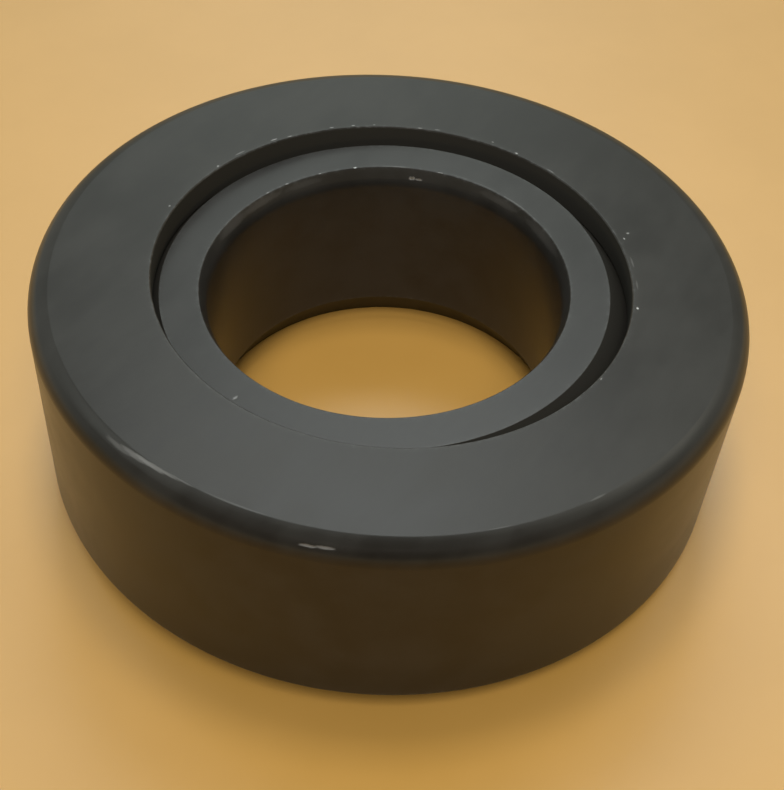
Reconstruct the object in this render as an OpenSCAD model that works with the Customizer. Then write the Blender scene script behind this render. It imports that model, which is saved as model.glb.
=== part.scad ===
// Angular contact spherical plain bearing, lying on the wide face of its inner ring.
// The bore's axis is Z, and Z = 0 is the wide face. The outer ring tilts about the centre of the
// sphere that both rings share, and rests where its foot meets the surface below it, on the +X side.

/* [Inner ring] */
// Diameter of the shaft bore
bore_d = 25; // [20:0.5:28]
// Width of the inner ring, from its wide face to its narrow face
inner_w = 15.5; // [13:0.1:18]
// Wall between the bore and the rim of the narrow face
narrow_wall = 3.25; // [2.5:0.05:4]
// Radial depth of the lead-in cone at the bore's narrow end
narrow_lead_depth = 0.5; // [0.2:0.05:1]
// Length of the lead-in cone at the bore's narrow end
narrow_lead_length = 1.1; // [0.4:0.1:2]
// Radial depth of the lead-in cone at the bore's wide end
wide_lead_depth = 1.35; // [0.4:0.05:2]
// Length of the lead-in cone at the bore's wide end
wide_lead_length = 2.45; // [0.6:0.05:4]
// Edge break around the wide face
wide_rim_break = 0.5; // [0.2:0.05:1]

/* [Outer ring] */
// Outside diameter, which is the housing seat
outer_d = 50; // [44:0.5:60]
// Thinnest wall, between the outside and the widest part of the raceway
outer_wall = 3.7; // [2.5:0.1:5]
// Depth of the inner ring's narrow face below the outer ring's, with the rings in line
narrow_recess = 1.1; // [0.5:0.1:2]
// Height of the outer ring's wide face above the inner ring's, with the rings in line
foot_lift = 0.9; // [0.4:0.1:1.5]
// Radial gap between the inner ring's narrow rim and the mouth around it
mouth_gap = 0.95; // [0.5:0.05:1.5]
// Edge break around the mouth
mouth_break = 0.08; // [0.04:0.02:0.5]
// Radius of the round between the narrow face and the outside
corner_r = 1.4; // [0.6:0.1:2.5]
// Edge break around the outside of the wide face
foot_break = 0.8; // [0.3:0.1:1.5]
// Edge break where the raceway opens to the wide face
entry_break = 0.5; // [0.2:0.05:1]

/* [Fit] */
// Radial running clearance between the sphere and its raceway
running_clearance = 0.05; // [0.02:0.01:0.1]

/* [Hidden] */

// Smoothness of the preview
$fn = 180;
// How far a cutting shape runs past the section that it cuts
overrun = 1;
inner_colour = [0.28, 0.29, 0.30];
outer_colour = [0.24, 0.25, 0.25];

bore_r = bore_d / 2;
outer_r = outer_d / 2;
narrow_rim_r = bore_r + narrow_wall;

// The sphere: its radius comes from the outer ring's wall, and its centre's height from the narrow rim
raceway_r = outer_r - outer_wall;
sphere_r = raceway_r - running_clearance;
centre_z = inner_w - sqrt(pow(sphere_r, 2) - pow(narrow_rim_r, 2));

wide_rim_r = sqrt(pow(sphere_r, 2) - pow(centre_z, 2));
mouth_r = narrow_rim_r + mouth_gap;
outer_top = inner_w + narrow_recess;

// Tilt at which the outer ring's foot comes down to Z = 0
foot_r = outer_r - foot_break;
foot_reach = norm([foot_r, centre_z - foot_lift]);
rest_tilt = asin(centre_z / foot_reach) - asin((centre_z - foot_lift) / foot_reach);

// Half section of the inner ring: a zone of the sphere, trimmed by the faces, the bore and its lead-ins
module inner_section() {
    break_start = wide_rim_r - wide_rim_break;
    break_run = sphere_r + overrun - break_start;
    intersection() {
        translate([0, centre_z])
            circle(r = sphere_r);
        polygon([
            [bore_r, wide_lead_length],
            [bore_r + wide_lead_depth, 0],
            [break_start, 0],
            [break_start + break_run, break_run],
            [break_start + break_run, inner_w],
            [bore_r + narrow_lead_depth, inner_w],
            [bore_r, inner_w - narrow_lead_length]
        ]);
    }
}

// Half section of the outer ring before the raceway is cut, with the rings in line
module outer_blank_section() {
    corner_inner = outer_r - corner_r;
    corner_low = outer_top - corner_r;
    polygon([
        [mouth_r, foot_lift],
        [foot_r, foot_lift],
        [outer_r, foot_lift + foot_break],
        [outer_r, corner_low],
        [corner_inner, corner_low],
        [corner_inner, outer_top],
        [mouth_r + mouth_break, outer_top],
        [mouth_r, outer_top - mouth_break]
    ]);
    // Round corner
    translate([corner_inner, corner_low])
        intersection() {
            circle(r = corner_r);
            square(corner_r);
        }
}

// Space for the sphere, kept open below its widest part so that the ring lifts off
module raceway_section() {
    clear_low = min(centre_z, foot_lift) - overrun;
    // Radius of the raceway where it meets the wide face
    entry_r = sqrt(pow(raceway_r, 2) - pow(max(foot_lift - centre_z, 0), 2));
    translate([0, centre_z])
        circle(r = raceway_r);
    translate([0, clear_low])
        square([raceway_r, centre_z - clear_low]);
    // Edge break at 45 degrees
    polygon([
        [entry_r - overrun, foot_lift - overrun],
        [entry_r + entry_break + overrun, foot_lift - overrun],
        [entry_r - overrun, foot_lift + entry_break + overrun]
    ]);
}

module inner_ring() {
    color(inner_colour)
        rotate_extrude()
            inner_section();
}

module outer_ring() {
    color(outer_colour)
        translate([0, 0, centre_z])
            rotate([0, rest_tilt, 0])
                translate([0, 0, -centre_z])
                    rotate_extrude()
                        difference() {
                            outer_blank_section();
                            raceway_section();
                        }
}

inner_ring();
outer_ring();
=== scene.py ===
"""Dresses an angular contact spherical plain bearing: two blackened steel rings on a pale tan floor."""
import math
from collections import namedtuple

import bpy
from mathutils import Matrix, Vector, noise


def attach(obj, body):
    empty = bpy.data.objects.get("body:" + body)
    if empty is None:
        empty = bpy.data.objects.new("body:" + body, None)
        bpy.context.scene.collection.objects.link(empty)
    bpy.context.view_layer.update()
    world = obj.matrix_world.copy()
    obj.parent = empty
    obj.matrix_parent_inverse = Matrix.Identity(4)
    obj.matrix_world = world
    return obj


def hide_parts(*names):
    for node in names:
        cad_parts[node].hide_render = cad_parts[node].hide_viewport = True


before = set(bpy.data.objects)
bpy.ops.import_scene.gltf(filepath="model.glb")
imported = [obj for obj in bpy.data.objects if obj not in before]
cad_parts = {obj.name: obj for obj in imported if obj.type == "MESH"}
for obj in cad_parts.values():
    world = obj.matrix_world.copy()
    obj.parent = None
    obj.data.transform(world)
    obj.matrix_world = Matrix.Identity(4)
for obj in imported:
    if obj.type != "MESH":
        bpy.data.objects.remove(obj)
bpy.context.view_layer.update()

MM = 0.001

# Sizes of the rings in millimetres, as the solids have them. A lead-in is its radial depth and its length
BORE_R = 12.5
INNER_W = 15.5
NARROW_RIM_R = 15.75
NARROW_LEAD = (0.5, 1.1)
WIDE_LEAD = (1.35, 2.45)
WIDE_RIM_BREAK = 0.5
OUTER_R = 25.0
RACEWAY_R = 21.3
SPHERE_R = 21.25
OUTER_TOP = 16.6
FOOT_LIFT = 0.9
MOUTH_R = 16.7
MOUTH_BREAK = 0.08
CORNER_R = 1.4
FOOT_BREAK = 0.8
ENTRY_BREAK = 0.5

# The sphere's centre, the corner round's centre, and the tilt that brings the outer ring's foot to the floor
CENTRE_Z = INNER_W - math.sqrt(SPHERE_R ** 2 - NARROW_RIM_R ** 2)
CORNER_CENTRE = Vector((OUTER_R - CORNER_R, OUTER_TOP - CORNER_R))
FOOT_R = OUTER_R - FOOT_BREAK
FOOT_REACH = math.hypot(FOOT_R, CENTRE_Z - FOOT_LIFT)
REST_TILT = math.asin(CENTRE_Z / FOOT_REACH) - math.asin((CENTRE_Z - FOOT_LIFT) / FOOT_REACH)

# The curve that grinding left round the outer ring's face: where it starts, its slope there, radius and step
FACE_EDGE_R = 23.55
FACE_EDGE_SLOPE = math.radians(7)
FACE_EDGE_CURVE = 3.0
FACE_EDGE_STEP = math.radians(1)

# Roundings of the edges in millimetres
LEAD_FACE_ROUND = 0.1
NARROW_LEAD_ROUND = 2.2
WIDE_LEAD_ROUND = 0.15
NARROW_RIM_ROUND = 0.06
WIDE_RIM_ROUND = 0.08
MOUTH_ROUND = 0.05
RACEWAY_ROUND = 0.05
ENTRY_ROUND = 0.08
FOOT_INNER_ROUND = 0.15
FOOT_OUTER_ROUND = 0.3
FACE_EDGE_ROUND = 0.6

# Mesh density: sections round a ring, steps of arcs and roundings, the largest rounding that is a tight edge,
# distances of extra points beside such an edge, and the longest step elsewhere
SEGMENTS = 216
ARC_STEP = math.radians(3)
ROUND_STEPS = 5
TIGHT_EDGE = 0.5
NEAR_EDGE = (0.03, 0.1, 0.22, 0.5)
SHORTEST_SPLIT = 3 * NEAR_EDGE[0]
FACE_STEP = 2.0

# Mesh density at a mark. Across it: steps over its width, the finest step, and how far out points are added,
# as a share of the width. Along it: the step, the fewest and most steps, how far they go to each side, as a
# share of the length, the smallest angle between sections, and the digits kept of an angle
MARK_STEPS_ACROSS = 6
FINEST_STEP = 0.022
MARK_REACH = 0.6
MARK_STEP = 0.07
MARK_STEPS_ALONG = (4, 12)
MARK_HALF = 0.75
CLOSEST_TURN = 0.2 * MARK_STEP / OUTER_R
TURN_DIGITS = 6

# The outline of a mark: how far out it is looked for, in half sizes, how ragged it is, and the scale of that
MARK_LIMIT = 1.5
RAGGED = 0.25
RAGGED_SCALE = 6

# How far the wear of a tight edge reaches, and how close to a surface a point counts as on it, in millimetres
EDGE_FADE = 0.12
ON_SURFACE = 0.01

# The camera, fitted to the photograph: lengths in millimetres and angles in radians
CAMERA_AT = Vector((-19.16, -67.90, 78.87))
CAMERA_YAW = 0.2850
CAMERA_PITCH = 0.8165
CAMERA_ROLL = 0.0262
CAMERA_NEAREST = 5
LENS = 61.38
SENSOR = 36.0

# Noise in the steel: scale per millimetre, detail and roughness
CLOUD = (0.11, 3.0, 0.55)
SMEAR = (0.4, 4.0, 0.6)
GRAIN = (11.0, 2.0, 0.5)
RUB = (2.2, 3.0, 0.6)

# Smears are drawn out one way, and mixed with the clouds they range between the dark and the light coat
SMEAR_TURN = math.radians(45)
SMEAR_STRETCH = 2.5
CLOUD_SHARE = 0.5
BLOT_EDGE = (0.36, 0.64)

# Worn edges: where rubbing shows in its noise, how strongly, how much of the colour, and the colour
RUB_EDGE = (0.45, 0.75)
RUB_LEVEL = (0.15, 1.0)
WORN_SHARE = 0.5
WORN_COLOUR = (0.09, 0.092, 0.09, 1)

# Bare metal, which is also the colour of the painted highlights, the roughness that old oil adds, and the
# strength and tint of the coat's gloss
BARE_AND_GLINT_COLOUR = (0.52, 0.51, 0.49, 1)
OIL_ROUGHNESS = 0.25
STEEL_IOR = 1.4
STEEL_TINT = (1.0, 0.94, 0.88, 1)

# Turned lines: scale per millimetre across them, detail and share of the bump, with its strength and depth
TURNED_SCALE = 9.0
TURNED_DETAIL = 3.0
TURNED_SHARE = 0.5
BUMP_STRENGTH = 0.12
BUMP_DEPTH = 0.02

# A ring's finish: its coat's darkest and lightest colours, the roughness of each, and the colour of old oil.
# On the outer ring that colour is lighter than its coat: painted light that lifts the shade in the gap
# between the rings
Finish = namedtuple("Finish", "dark light roughness oil")
INNER_FINISH = Finish(
    dark=(0.017, 0.0162, 0.0147, 1),
    light=(0.026, 0.0253, 0.0235, 1),
    roughness=(0.28, 0.325),
    oil=(0.021, 0.0195, 0.0165, 1),
)
OUTER_FINISH = Finish(
    dark=(0.0125, 0.011, 0.009, 1),
    light=(0.0208, 0.0193, 0.0167, 1),
    roughness=(0.285, 0.335),
    # Lighter than the coat: painted light that lifts the shade in the gap between the rings
    oil=(0.037, 0.035, 0.03, 1),
)

# The floor: noise of its fibres with scale per metre, their two colours, gloss, and half its size and its
# level in metres
FIBRE = (60.0, 4.0, 0.6)
FIBRE_EDGE = (0.3, 0.7)
CARD_DARK = (0.517, 0.284, 0.063, 1)
CARD_LIGHT = (0.54, 0.298, 0.069, 1)
CARD_ROUGHNESS = 0.45
CARD_IOR = 2.05
FLOOR_REACH = 1.5
FLOOR_LEVEL = -0.01 * MM

# The tan backdrop, how high it stands, as sines of the elevation, and where the floor runs out into it, in
# metres from the middle
BACKDROP = (0.62, 0.46, 0.22, 1)
BACKDROP_TOP = (0.08, 0.3)
FLOOR_END = (0.12, 0.4)

# The room's walls: levels at the sides, high up and behind the object. An edge says where one gives way to
# the next: HIGH_EDGE as sines of the elevation, BACK_EDGE as cosines from the middle of the bright part
ROOM_COLOUR = (0.87, 1.0, 0.97, 1)
SIDE_LEVEL = 0.42
HIGH_LEVEL = 0.55
HIGH_EDGE = (0.4, 0.75)
BACK_LEVEL = 1.38
BACK_EDGE = (0.945, 1.0)
BACK_AZIMUTH = -2.5
BACK_ELEVATION = 30

# The shade on the camera's side of the room: the share of light left in it, its edge as cosines from its
# middle, and where it ends low down, as sines of the elevation
SHADE_SHARE = 0.03
SHADE_EDGE = (0.48, 0.63)
SHADE_AZIMUTH = 180
SHADE_ELEVATION = 55
SHADE_FLOOR = (0.12, 0.35)

# Colours of the lamps
WARM = (1.0, 0.97, 0.92)
COOL = (0.9, 1.0, 1.0)
SKY = (0.9, 1.0, 1.06)
GREENISH = (0.98, 1.0, 0.9)
ORANGE = (1.0, 0.7, 0.32)

# Nicks and rubbed spots, and painted highlights: the long, shallow marks along the outer face's edge, the
# mouth's rim on the right and the bore's narrow edge and lead-in are painted glints and sheen, drawn as bare
# metal. Each has its angle, place on the section, length along and width across the ring in millimetres,
# depth, and how bare the metal is there, or how bright the painted highlight is
Mark = namedtuple("Mark", "degrees place along across depth bare")
OUTER_MARKS = [
    Mark(243.3, (24.61, 16.17), 1.15, 0.2, 0.04, 0.32),
    Mark(245.6, (24.56, 16.21), 1.3, 0.2, 0.03, 0.28),
    # Painted highlight: a lamp's streak of reflection along the face's edge at front-left, drawn as shallow
    # bare metal
    Mark(211.0, (24.0, 16.51), 2.4, 0.34, 0.002, 0.08),
    Mark(213.8, (23.84, 16.55), 2.4, 0.32, 0.002, 0.15),
    Mark(216.4, (23.73, 16.57), 2.8, 0.28, 0.002, 0.24),
    Mark(219.0, (23.64, 16.59), 2.6, 0.2, 0.002, 0.2),
    Mark(222.0, (23.56, 16.6), 2.4, 0.14, 0.002, 0.1),
    # Painted highlight: a thin light line along the face's edge round the front
    Mark(231.5, (23.5, 16.6), 4.5, 0.14, 0.002, 0.05),
    Mark(270.0, (23.5, 16.6), 1.6, 0.12, 0.003, 0.05),
    Mark(286.0, (23.55, 16.6), 1.3, 0.16, 0.003, 0.09),
    Mark(40.5, (16.95, 16.6), 0.22, 0.16, 0.03, 0.8),
    Mark(29.5, (16.93, 16.6), 0.9, 0.06, 0.015, 0.35),
    Mark(0.6, (17.75, 16.6), 0.14, 0.22, 0.02, 0.5),
    Mark(358.9, (17.25, 16.6), 0.2, 0.14, 0.02, 0.6),
    Mark(333.9, (17.07, 16.6), 0.22, 0.2, 0.03, 0.9),
    Mark(307.8, (16.9, 16.6), 0.16, 0.12, 0.02, 0.5),
    Mark(91.1, (17.0, 16.6), 0.35, 0.1, 0.02, 0.45),
    Mark(85.3, (17.0, 16.6), 0.3, 0.12, 0.02, 0.5),
    Mark(79.7, (17.0, 16.6), 0.2, 0.12, 0.02, 0.45),
    Mark(62.9, (17.0, 16.6), 0.5, 0.08, 0.02, 0.35),
    Mark(47.9, (17.2, 16.6), 0.2, 0.12, 0.02, 0.4),
    Mark(125.4, (16.95, 16.6), 0.16, 0.16, 0.02, 0.7),
    Mark(145.1, (17.15, 16.6), 0.18, 0.14, 0.02, 0.6),
    Mark(107.2, (17.05, 16.6), 0.6, 0.14, 0.02, 0.45),
    Mark(102.9, (16.9, 16.6), 0.4, 0.14, 0.02, 0.3),
    Mark(117.6, (17.05, 16.6), 1.0, 0.14, 0.01, 0.2),
    Mark(67.5, (16.9, 16.6), 0.4, 0.14, 0.02, 0.3),
    # Painted highlight: a light line along the mouth's rim on the right
    Mark(350.3, (17.07, 16.6), 1.2, 0.14, 0.005, 0.1),
    Mark(342.1, (17.05, 16.6), 1.0, 0.14, 0.005, 0.1),
]
INNER_MARKS = [
    Mark(85.0, (13.08, 15.5), 0.3, 0.14, 0.03, 0.9),
    Mark(97.3, (13.05, 15.5), 0.25, 0.1, 0.02, 0.4),
    # Painted highlights: light lines along the bore's narrow edge, reflections of the room's light, drawn as
    # shallow bare metal
    Mark(71.2, (13.1, 15.5), 2.4, 0.08, 0.004, 0.16),
    Mark(26.0, (13.12, 15.5), 3.0, 0.14, 0.002, 0.08),
    Mark(39.0, (13.15, 15.5), 2.8, 0.14, 0.002, 0.06),
    Mark(49.0, (13.2, 15.5), 2.0, 0.12, 0.002, 0.05),
    Mark(56.0, (13.07, 15.5), 0.5, 0.08, 0.02, 0.5),
    # Painted sheen on the bore's narrow lead-in, drawn as faint, wide bare metal
    Mark(136.0, (12.84, 15.16), 3.6, 0.8, 0.002, 0.06),
    Mark(122.0, (12.84, 15.16), 4.4, 0.6, 0.002, 0.05),
    Mark(104.0, (12.82, 15.12), 3.4, 0.5, 0.002, 0.03),
    Mark(33.0, (12.82, 15.12), 4.0, 0.6, 0.002, 0.04),
    Mark(10.0, (12.82, 15.12), 5.0, 0.8, 0.002, 0.04),
    Mark(109.5, (13.07, 15.5), 0.3, 0.12, 0.02, 0.35),
    Mark(117.1, (13.07, 15.5), 0.3, 0.12, 0.02, 0.3),
    Mark(65.5, (12.69, 14.81), 0.5, 0.3, 0.03, 0.95),
    Mark(63.1, (12.67, 14.77), 0.6, 0.17, 0.02, 0.85),
    Mark(214.8, (14.9, 15.5), 0.2, 0.4, 0.02, 0.35),
]


def rounded_corner(before, corner, after, radius):
    """Points of an arc of that radius between the two lines that meet at a corner."""
    to_before = (before - corner).normalized()
    to_after = (after - corner).normalized()
    half = math.acos(max(-1.0, min(1.0, to_before.dot(to_after)))) / 2
    reach = radius / math.tan(half)
    start = corner + to_before * reach
    end = corner + to_after * reach
    centre = corner + (to_before + to_after).normalized() * (radius / math.sin(half))
    first = math.atan2(*(start - centre).yx)
    last = math.atan2(*(end - centre).yx)
    sweep = (last - first + math.pi) % (2 * math.pi) - math.pi
    turns = [first + sweep * i / ROUND_STEPS for i in range(ROUND_STEPS + 1)]
    return [centre + Vector((math.cos(t), math.sin(t))) * radius for t in turns]


def arc(centre, radius, start, end):
    """Points along a circle from one angle to another, both ends included."""
    steps = max(2, math.ceil(abs(end - start) / ARC_STEP))
    turns = [start + (end - start) * i / steps for i in range(steps + 1)]
    return [Vector(centre) + Vector((math.cos(t), math.sin(t))) * radius for t in turns]


def section_loop(corners):
    """Points of a closed half section from (point, edge radius) corners, and whether each edge is tight."""
    loop = []
    for i, (corner, radius) in enumerate(corners):
        if radius == 0:
            loop.append((corner, False))
            continue
        before = corners[i - 1][0]
        after = corners[(i + 1) % len(corners)][0]
        loop += [(p, radius < TIGHT_EDGE) for p in rounded_corner(before, corner, after, radius)]
    return loop


def split_line(start, end, from_edge, to_edge):
    """Points between two neighbours of a section: close together near a tight edge, wider elsewhere."""
    length = (end - start).length
    places = {0.0}
    if length > SHORTEST_SPLIT:
        if from_edge:
            places |= {d for d in NEAR_EDGE if d < length / 2}
        if to_edge:
            places |= {length - d for d in NEAR_EDGE if d < length / 2}
    places = sorted(places) + [length]
    finished = []
    for a, b in zip(places, places[1:]):
        steps = max(1, math.ceil((b - a) / FACE_STEP))
        finished += [a + (b - a) * i / steps for i in range(steps)]
    return [start.lerp(end, d / length) for d in finished]


def mark_places(start, end, marks):
    """Distances along a line of the section at which the marks close to it need a point."""
    length = (end - start).length
    places = []
    for mark in marks:
        middle = Vector(mark.place)
        reach = MARK_REACH * mark.across
        foot = max(0.0, min(length, (middle - start).dot(end - start) / length))
        if (start.lerp(end, foot / length) - middle).length > reach:
            continue
        step = max(mark.across / MARK_STEPS_ACROSS, FINEST_STEP)
        count = math.ceil(reach / step)
        places += [foot + step * k for k in range(-count, count + 1)]
    kept = [0.0]
    for d in sorted(places):
        if min(d - kept[-1], length - d) > FINEST_STEP:
            kept.append(d)
    return kept[1:]


def with_marks(points, marks):
    """The section with more points where a mark lies on it."""
    finished = []
    for i, (p, edge) in enumerate(points):
        q = points[(i + 1) % len(points)][0]
        finished.append((p, edge))
        finished += [(p.lerp(q, d / (q - p).length), False) for d in mark_places(p, q, marks)]
    return finished


def refined(loop, marks):
    """The section with its long lines split, and each point's distance from the nearest tight edge."""
    points = []
    for i, (p, edge) in enumerate(loop):
        q, next_edge = loop[(i + 1) % len(loop)]
        on_rounding = edge and next_edge and (q - p).length < NEAR_EDGE[1]
        if on_rounding:
            points.append((p, True))
            continue
        line = split_line(p, q, edge, next_edge)
        points += [(x, edge and n == 0) for n, x in enumerate(line)]
    points = with_marks(points, marks)
    edges = [p for p, edge in points if edge]
    return [(p, min((p - e).length for e in edges)) for p, _ in points]


def inner_section(marks):
    """Half section of the inner ring, going round with the metal on the left."""
    break_start = math.sqrt(SPHERE_R ** 2 - CENTRE_Z ** 2) - WIDE_RIM_BREAK
    # The edge break's 45 degree line meets the sphere here
    offset = break_start + CENTRE_Z
    break_z = (2 * CENTRE_Z - 2 * break_start + math.sqrt(8 * SPHERE_R ** 2 - 4 * offset ** 2)) / 4
    low = math.asin((break_z - CENTRE_Z) / SPHERE_R)
    high = math.asin((INNER_W - CENTRE_Z) / SPHERE_R)
    sphere = arc((0, CENTRE_Z), SPHERE_R, low, high)
    corners = [
        (Vector((BORE_R + WIDE_LEAD[0], 0)), LEAD_FACE_ROUND),
        (Vector((break_start, 0)), WIDE_RIM_ROUND),
        (sphere[0], WIDE_RIM_ROUND),
    ]
    corners += [(p, 0) for p in sphere[1:-1]]
    corners += [
        (sphere[-1], NARROW_RIM_ROUND),
        (Vector((BORE_R + NARROW_LEAD[0], INNER_W)), LEAD_FACE_ROUND),
        (Vector((BORE_R, INNER_W - NARROW_LEAD[1])), NARROW_LEAD_ROUND),
        (Vector((BORE_R, WIDE_LEAD[1])), WIDE_LEAD_ROUND),
    ]
    return refined(section_loop(corners), marks)


def face_edge():
    """Points of the gentle curve between the corner's round and the face, outermost first."""
    tilt = FACE_EDGE_SLOPE
    first = Vector((FACE_EDGE_R, OUTER_TOP))
    centre = first - Vector((math.sin(tilt), math.cos(tilt))) * FACE_EDGE_CURVE
    points = [first]
    while points[-1].x < CORNER_CENTRE.x or (points[-1] - CORNER_CENTRE).length < CORNER_R:
        tilt += FACE_EDGE_STEP
        points.append(centre + Vector((math.sin(tilt), math.cos(tilt))) * FACE_EDGE_CURVE)
    return points[::-1]


def outer_section(marks):
    """Half section of the outer ring with the rings in line, going round with the metal on the left."""
    curve = face_edge()
    round_end = math.atan2(*(curve[0] - CORNER_CENTRE).yx)
    corner = arc(CORNER_CENTRE, CORNER_R, 0, round_end - ARC_STEP) + curve[1:-1]
    # The entry's 45 degree line meets the raceway here
    entry_sum = RACEWAY_R + ENTRY_BREAK + FOOT_LIFT - CENTRE_Z
    entry_r = (entry_sum + math.sqrt(2 * RACEWAY_R ** 2 - entry_sum ** 2)) / 2
    low = math.acos(entry_r / RACEWAY_R)
    high = math.acos(MOUTH_R / RACEWAY_R)
    raceway = arc((0, CENTRE_Z), RACEWAY_R, high, low)
    corners = [
        (raceway[-1], RACEWAY_ROUND),
        (Vector((RACEWAY_R + ENTRY_BREAK, FOOT_LIFT)), ENTRY_ROUND),
        (Vector((FOOT_R, FOOT_LIFT)), FOOT_INNER_ROUND),
        (Vector((OUTER_R, FOOT_LIFT + FOOT_BREAK)), FOOT_OUTER_ROUND),
    ]
    corners += [(p, 0) for p in corner]
    corners += [
        (curve[-1], FACE_EDGE_ROUND),
        (Vector((MOUTH_R + MOUTH_BREAK, OUTER_TOP)), MOUTH_ROUND),
        (Vector((MOUTH_R, OUTER_TOP - MOUTH_BREAK)), MOUTH_ROUND),
        (raceway[0], RACEWAY_ROUND),
    ]
    corners += [(p, 0) for p in raceway[1:-1]]
    return refined(section_loop(corners), marks)


def angles_for(marks):
    """Angles of the mesh's sections: even all round, with more of them across each mark."""
    whole = 2 * math.pi
    turns = {round(whole * i / SEGMENTS, TURN_DIGITS) for i in range(SEGMENTS)}
    fewest, most = MARK_STEPS_ALONG
    for mark in marks:
        reach = MARK_HALF * mark.along / mark.place[0]
        first = math.radians(mark.degrees) - reach
        steps = max(fewest, min(most, math.ceil(2 * MARK_HALF * mark.along / MARK_STEP)))
        turns |= {round((first + 2 * reach * i / steps) % whole, TURN_DIGITS) for i in range(steps + 1)}
    ordered = sorted(turns)
    kept = [ordered[0]]
    for turn in ordered[1:]:
        if turn - kept[-1] > CLOSEST_TURN:
            kept.append(turn)
    return kept


def mark_weight(point, turn, mark, seed):
    """How far a point of the mesh is inside a mark: 1 at its middle and 0 outside it."""
    off_turn = (turn - math.radians(mark.degrees) + math.pi) % (2 * math.pi) - math.pi
    along_off = off_turn * point.x / (mark.along / 2)
    across_off = (point - Vector(mark.place)).length / (mark.across / 2)
    if abs(along_off) > MARK_LIMIT or across_off > MARK_LIMIT:
        return 0.0
    spot = Vector((turn * point.x * RAGGED_SCALE, point.x * RAGGED_SCALE + point.y * RAGGED_SCALE, seed))
    distance = math.hypot(along_off, across_off) + RAGGED * noise.noise(spot)
    return (1 - distance ** 2) ** 0.5 if distance < 1 else 0.0


def pressed_bare_and_glint(point, turn, marks):
    """How deep the marks press a point of the mesh in, and how much of the metal's colour they show, at nicks
    and at painted highlights.
    """
    pressed = 0.0
    bare = 0.0
    for seed, mark in enumerate(marks):
        weight = mark_weight(point, turn, mark, seed)
        pressed = max(pressed, weight * mark.depth)
        bare = max(bare, weight * mark.bare)
    return pressed, bare


def in_film_and_gap_light(point):
    """Whether a point of a section is oily, and on the outer ring painted lighter to lift the gap's shade:
    the sphere, raceway, mouth's wall and lower lead-in.
    """
    in_mouth = abs(point.x - MOUTH_R) < ON_SURFACE and point.y < OUTER_TOP - MOUTH_BREAK
    in_lead = point.x < BORE_R + WIDE_LEAD[0] and point.y < WIDE_LEAD[1]
    from_centre = (point - Vector((0, CENTRE_Z))).length
    return in_mouth or in_lead or SPHERE_R - ON_SURFACE < from_centre < RACEWAY_R + ON_SURFACE


def section_normals(section):
    """Outward direction at each point of a closed section."""
    points = [point for point, _ in section]
    normals = []
    for i in range(len(points)):
        tangent = points[(i + 1) % len(points)] - points[i - 1]
        normals.append(Vector((tangent.y, -tangent.x)).normalized())
    return normals


def section_lengths(section):
    """Distance of each point of a section from the first one, along the section."""
    lengths = [0.0]
    for (before, _), (point, _) in zip(section, section[1:]):
        lengths.append(lengths[-1] + (point - before).length)
    return lengths


def ring_faces(turns, count):
    """Faces between neighbouring sections of a turned mesh, each a closed loop of that many points."""
    faces = []
    for a in range(turns):
        b = (a + 1) % turns
        for i in range(count):
            j = (i + 1) % count
            faces.append((a * count + i, b * count + i, b * count + j, a * count + j))
    return faces


def turned_piece(name, section, marks, place):
    """Sweeps a closed section round Z, presses its marks in and keeps attributes for the material."""
    normals = section_normals(section)
    turns = angles_for(marks)
    vertices = []
    bare = []
    for turn in turns:
        out = Vector((math.cos(turn), math.sin(turn)))
        for (point, _), normal in zip(section, normals):
            pressed, shine = pressed_bare_and_glint(point, turn, marks)
            p = point - normal * pressed
            vertices.append((place @ Vector((p.x * out.x, p.x * out.y, p.y))) * MM)
            bare.append(shine)
    attributes = {
        "edge": [math.exp(-edge_distance / EDGE_FADE) for _, edge_distance in section] * len(turns),
        "bare": bare,
        "across": section_lengths(section) * len(turns),
        "film_and_gap_light": [float(in_film_and_gap_light(point)) for point, _ in section] * len(turns),
    }
    mesh = bpy.data.meshes.new(name)
    mesh.from_pydata(vertices, [], ring_faces(len(turns), len(section)))
    for key, values in attributes.items():
        mesh.attributes.new(key, "FLOAT", "POINT").data.foreach_set("value", values)
    mesh.shade_smooth()
    mesh.update()
    piece = bpy.data.objects.new(name, mesh)
    bpy.context.scene.collection.objects.link(piece)
    return piece


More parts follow.
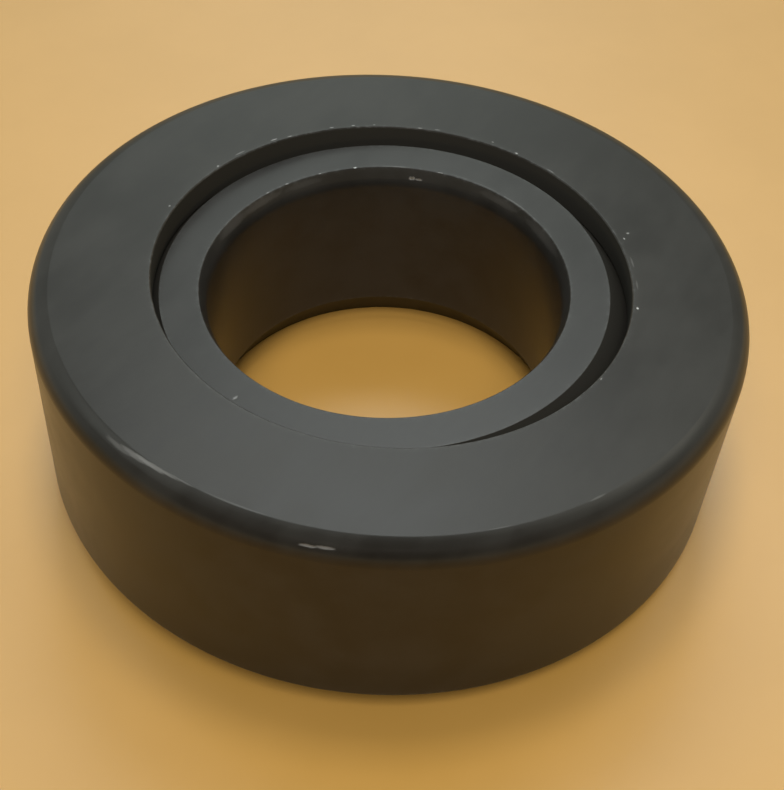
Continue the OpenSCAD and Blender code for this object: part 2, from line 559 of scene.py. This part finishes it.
class Nodes:
    """Short calls for building a node tree."""

    def __init__(self, tree):
        self.tree = tree
        tree.nodes.clear()

    def add(self, kind, **settings):
        """A new node, with its properties and its inputs set by name."""
        node = self.tree.nodes.new(kind)
        for key, value in settings.items():
            if key in node.bl_rna.properties:
                setattr(node, key, value)
            else:
                self.feed(node.inputs[key.replace("_", " ")], value)
        return node

    def feed(self, socket, value):
        """Links a socket to another one, or gives it a constant."""
        if isinstance(value, bpy.types.NodeSocket):
            self.tree.links.new(value, socket)
        else:
            socket.default_value = value

    def feed_in_order(self, node, *values):
        for socket, value in zip(node.inputs, values):
            self.feed(socket, value)

    def attribute(self, name):
        return self.add("ShaderNodeAttribute", attribute_name=name).outputs["Fac"]

    def noise(self, vector, scale, detail, rough):
        node = self.add("ShaderNodeTexNoise", Vector=vector, Scale=scale, Detail=detail, Roughness=rough)
        return node.outputs["Fac"]

    def span(self, value, low, high, to_low=0.0, to_high=1.0):
        """Goes smoothly from one number to another while the value goes from low to high."""
        node = self.add("ShaderNodeMapRange", interpolation_type="SMOOTHSTEP", Value=value)
        numbers = {"From Min": low, "From Max": high, "To Min": to_low, "To Max": to_high}
        for key, number in numbers.items():
            self.feed(node.inputs[key], number)
        return node.outputs["Result"]

    def facing(self, direction, towards):
        node = self.add("ShaderNodeVectorMath", operation="DOT_PRODUCT")
        self.feed_in_order(node, direction, towards)
        return node.outputs["Value"]

    def maths(self, operation, a, b):
        node = self.add("ShaderNodeMath", operation=operation)
        self.feed_in_order(node, a, b)
        return node.outputs["Value"]

    def mix(self, factor, a, b):
        """Mixes two colours. Their sockets share names with those of other types, so they go by number."""
        node = self.add("ShaderNodeMix", data_type="RGBA")
        self.feed(node.inputs["Factor"], factor)
        self.feed(node.inputs[6], a)
        self.feed(node.inputs[7], b)
        return node.outputs[2]

    def mix_shader(self, factor, a, b):
        node = self.add("ShaderNodeMixShader")
        self.feed_in_order(node, factor, a, b)
        return node.outputs["Shader"]

    def output(self, kind, shader):
        self.feed(self.add(kind).inputs["Surface"], shader)


def blackened_steel(name, finish):
    """Satin black oxide over turned steel: clouds and smears, metal showing where rubbed and at painted
    highlights, and an old oily coat, painted lighter on the outer ring to lift the gap's shade.
    """
    material = bpy.data.materials.new(name)
    material.use_nodes = True
    n = Nodes(material.node_tree)
    place = n.add("ShaderNodeTexCoord").outputs["Object"]
    millimetres = n.add("ShaderNodeMapping", Vector=place, Scale=(1 / MM, 1 / MM, 1 / MM))
    spot = millimetres.outputs["Vector"]
    wiped = n.add("ShaderNodeMapping", vector_type="TEXTURE", Vector=spot)
    n.feed(wiped.inputs["Rotation"], (0, 0, SMEAR_TURN))
    n.feed(wiped.inputs["Scale"], (SMEAR_STRETCH, 1, 1))
    clouds = n.maths("MULTIPLY", n.noise(spot, *CLOUD), CLOUD_SHARE)
    smears = n.maths("MULTIPLY", n.noise(wiped.outputs["Vector"], *SMEAR), 1 - CLOUD_SHARE)
    blot = n.maths("ADD", clouds, smears)
    film_and_gap_light = n.attribute("film_and_gap_light")
    bare = n.attribute("bare")

    coat = n.mix(n.span(blot, *BLOT_EDGE), finish.dark, finish.light)
    rubbed = n.span(n.noise(spot, *RUB), *RUB_EDGE, *RUB_LEVEL)
    worn = n.maths("MULTIPLY", n.attribute("edge"), rubbed)
    coat = n.mix(n.maths("MULTIPLY", worn, WORN_SHARE), coat, WORN_COLOUR)
    # Old oil's colour; on the outer ring it is lighter, painted light that lifts the shade in the gap
    coat = n.mix(film_and_gap_light, coat, finish.oil)
    # Metal colour where nicks and rubbing go through the coat, and painted highlights at the shallow marks
    colour = n.mix(bare, coat, BARE_AND_GLINT_COLOUR)

    rough = n.span(blot, *BLOT_EDGE, *finish.roughness)
    rough = n.maths("ADD", rough, n.maths("MULTIPLY", film_and_gap_light, OIL_ROUGHNESS))

    lines = n.add("ShaderNodeTexNoise", noise_dimensions="1D", Scale=TURNED_SCALE, Detail=TURNED_DETAIL)
    n.feed(lines.inputs["W"], n.attribute("across"))
    turned = n.maths("MULTIPLY", lines.outputs["Fac"], TURNED_SHARE)
    height = n.maths("ADD", turned, n.noise(spot, *GRAIN))
    bump = n.add("ShaderNodeBump", Strength=BUMP_STRENGTH, Distance=BUMP_DEPTH * MM, Height=height)

    shader = n.add("ShaderNodeBsdfPrincipled", Metallic=bare, Roughness=rough, IOR=STEEL_IOR)
    n.feed(shader.inputs["Specular Tint"], STEEL_TINT)
    n.feed(shader.inputs["Base Color"], colour)
    n.feed(shader.inputs["Normal"], bump.outputs["Normal"])
    n.output("ShaderNodeOutputMaterial", shader.outputs["BSDF"])
    return material


def floor_material():
    """Plain pale tan card, which runs out into the backdrop."""
    material = bpy.data.materials.new("tan_card")
    material.use_nodes = True
    n = Nodes(material.node_tree)
    place = n.add("ShaderNodeTexCoord").outputs["Object"]
    colour = n.mix(n.span(n.noise(place, *FIBRE), *FIBRE_EDGE), CARD_DARK, CARD_LIGHT)
    card = n.add("ShaderNodeBsdfPrincipled", Roughness=CARD_ROUGHNESS, IOR=CARD_IOR)
    n.feed(card.inputs["Base Color"], colour)
    far = n.add("ShaderNodeVectorMath", operation="LENGTH")
    n.feed_in_order(far, place)
    backdrop = n.add("ShaderNodeEmission", Color=BACKDROP)
    share = n.span(far.outputs["Value"], *FLOOR_END)
    mixed = n.mix_shader(share, card.outputs["BSDF"], backdrop.outputs["Emission"])
    n.output("ShaderNodeOutputMaterial", mixed)
    return material


def add_floor():
    """A level square of card under the object."""
    x = FLOOR_REACH
    z = FLOOR_LEVEL
    mesh = bpy.data.meshes.new("floor")
    mesh.from_pydata([(-x, -x, z), (x, -x, z), (x, x, z), (-x, x, z)], [], [(0, 1, 2, 3)])
    mesh.materials.append(floor_material())
    floor = bpy.data.objects.new("floor", mesh)
    bpy.context.scene.collection.objects.link(floor)


def view_direction(azimuth, elevation):
    """Unit vector at an azimuth in degrees to the right of straight ahead of the camera, and an elevation."""
    turn = CAMERA_YAW + math.radians(azimuth)
    rise = math.radians(elevation)
    return Vector((math.sin(turn) * math.cos(rise), math.cos(turn) * math.cos(rise), math.sin(rise)))


def add_world():
    """Soft room light over a tan backdrop: walls brightest behind the object, shaded on the camera's side."""
    world = bpy.data.worlds.new("room")
    bpy.context.scene.world = world
    world.use_nodes = True
    n = Nodes(world.node_tree)
    direction = n.add("ShaderNodeTexCoord").outputs["Generated"]
    rise = n.facing(direction, (0, 0, 1))
    sides = n.span(rise, *HIGH_EDGE, SIDE_LEVEL, HIGH_LEVEL)
    back = n.facing(direction, view_direction(BACK_AZIMUTH, BACK_ELEVATION))
    walls = n.maths("ADD", sides, n.span(back, *BACK_EDGE, 0.0, BACK_LEVEL - SIDE_LEVEL))
    front = n.facing(direction, view_direction(SHADE_AZIMUTH, SHADE_ELEVATION))
    shade = n.span(front, *SHADE_EDGE, 0.0, 1 - SHADE_SHARE)
    shade = n.maths("MULTIPLY", shade, n.span(rise, *SHADE_FLOOR))
    room = n.add("ShaderNodeBackground", Color=ROOM_COLOUR)
    n.feed(room.inputs["Strength"], n.maths("MULTIPLY", walls, n.maths("SUBTRACT", 1.0, shade)))
    backdrop = n.add("ShaderNodeBackground", Color=BACKDROP)
    share = n.span(rise, *BACKDROP_TOP)
    mixed = n.mix_shader(share, backdrop.outputs["Background"], room.outputs["Background"])
    n.output("ShaderNodeOutputWorld", mixed)


def add_lamp(name, place, size, power, colour, mirrored=True):
    """A soft area lamp that faces the object, and that the metal mirrors or not.

    Its place is azimuth and elevation in degrees and distance in metres, its size width and height in metres.
    """
    azimuth, elevation, distance = place
    data = bpy.data.lights.new(name, "AREA")
    data.shape = "RECTANGLE"
    data.size = size[0]
    data.size_y = size[1]
    data.energy = power
    data.color = colour
    lamp = bpy.data.objects.new(name, data)
    away = view_direction(azimuth, elevation)
    lamp.location = away * distance
    lamp.rotation_euler = away.to_track_quat("Z", "Y").to_euler()
    lamp.visible_camera = False
    lamp.visible_glossy = mirrored
    bpy.context.scene.collection.objects.link(lamp)


def add_camera():
    """The camera at the photograph's place and angle."""
    forward = view_direction(0, -math.degrees(CAMERA_PITCH))
    level_right = forward.cross(Vector((0, 0, 1))).normalized()
    level_up = level_right.cross(forward)
    right = level_right * math.cos(CAMERA_ROLL) + level_up * math.sin(CAMERA_ROLL)
    up = level_up * math.cos(CAMERA_ROLL) - level_right * math.sin(CAMERA_ROLL)
    data = bpy.data.cameras.new("camera")
    data.lens = LENS
    data.sensor_fit = "VERTICAL"
    data.sensor_height = SENSOR
    data.clip_start = CAMERA_NEAREST * MM
    camera = bpy.data.objects.new("camera", data)
    turn = Matrix((right, up, -forward)).transposed().to_4x4()
    camera.matrix_world = Matrix.Translation(CAMERA_AT * MM) @ turn
    bpy.context.scene.collection.objects.link(camera)
    bpy.context.scene.camera = camera


in_line = Matrix.Identity(4)
leaning = (
    Matrix.Translation((0, 0, CENTRE_Z))
    @ Matrix.Rotation(REST_TILT, 4, "Y")
    @ Matrix.Translation((0, 0, -CENTRE_Z))
)

inner = turned_piece("inner_ring_blackened", inner_section(INNER_MARKS), INNER_MARKS, in_line)
inner.data.materials.append(blackened_steel("inner_blackened", INNER_FINISH))
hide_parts("inner_ring")
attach(inner, "inner")

outer = turned_piece("outer_ring_blackened", outer_section(OUTER_MARKS), OUTER_MARKS, leaning)
outer.data.materials.append(blackened_steel("outer_blackened", OUTER_FINISH))
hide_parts("outer_ring")
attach(outer, "outer")

add_floor()
add_world()
add_lamp("overhead", (0, 84, 0.25), (0.045, 0.045), 0.2, WARM, mirrored=False)
add_lamp("fill_front", (180, 62, 0.35), (0.2, 0.2), 0.88, WARM, mirrored=False)
add_lamp("ceiling_back", (2.5, 55, 0.5), (0.19, 0.12), 0.335, SKY)
add_lamp("glow_left", (-52, 56, 0.5), (0.16, 0.1), 0.09, COOL)
add_lamp("glow_right", (44, 50, 0.5), (0.16, 0.1), 0.15, GREENISH)
add_lamp("wall_left", (-62, 18, 0.5), (0.55, 0.5), 0.22, COOL)
add_lamp("wall_right", (80, 18, 0.5), (0.5, 0.25), 0.13, ORANGE)
add_camera()

bpy.context.scene.view_settings.view_transform = "Standard"
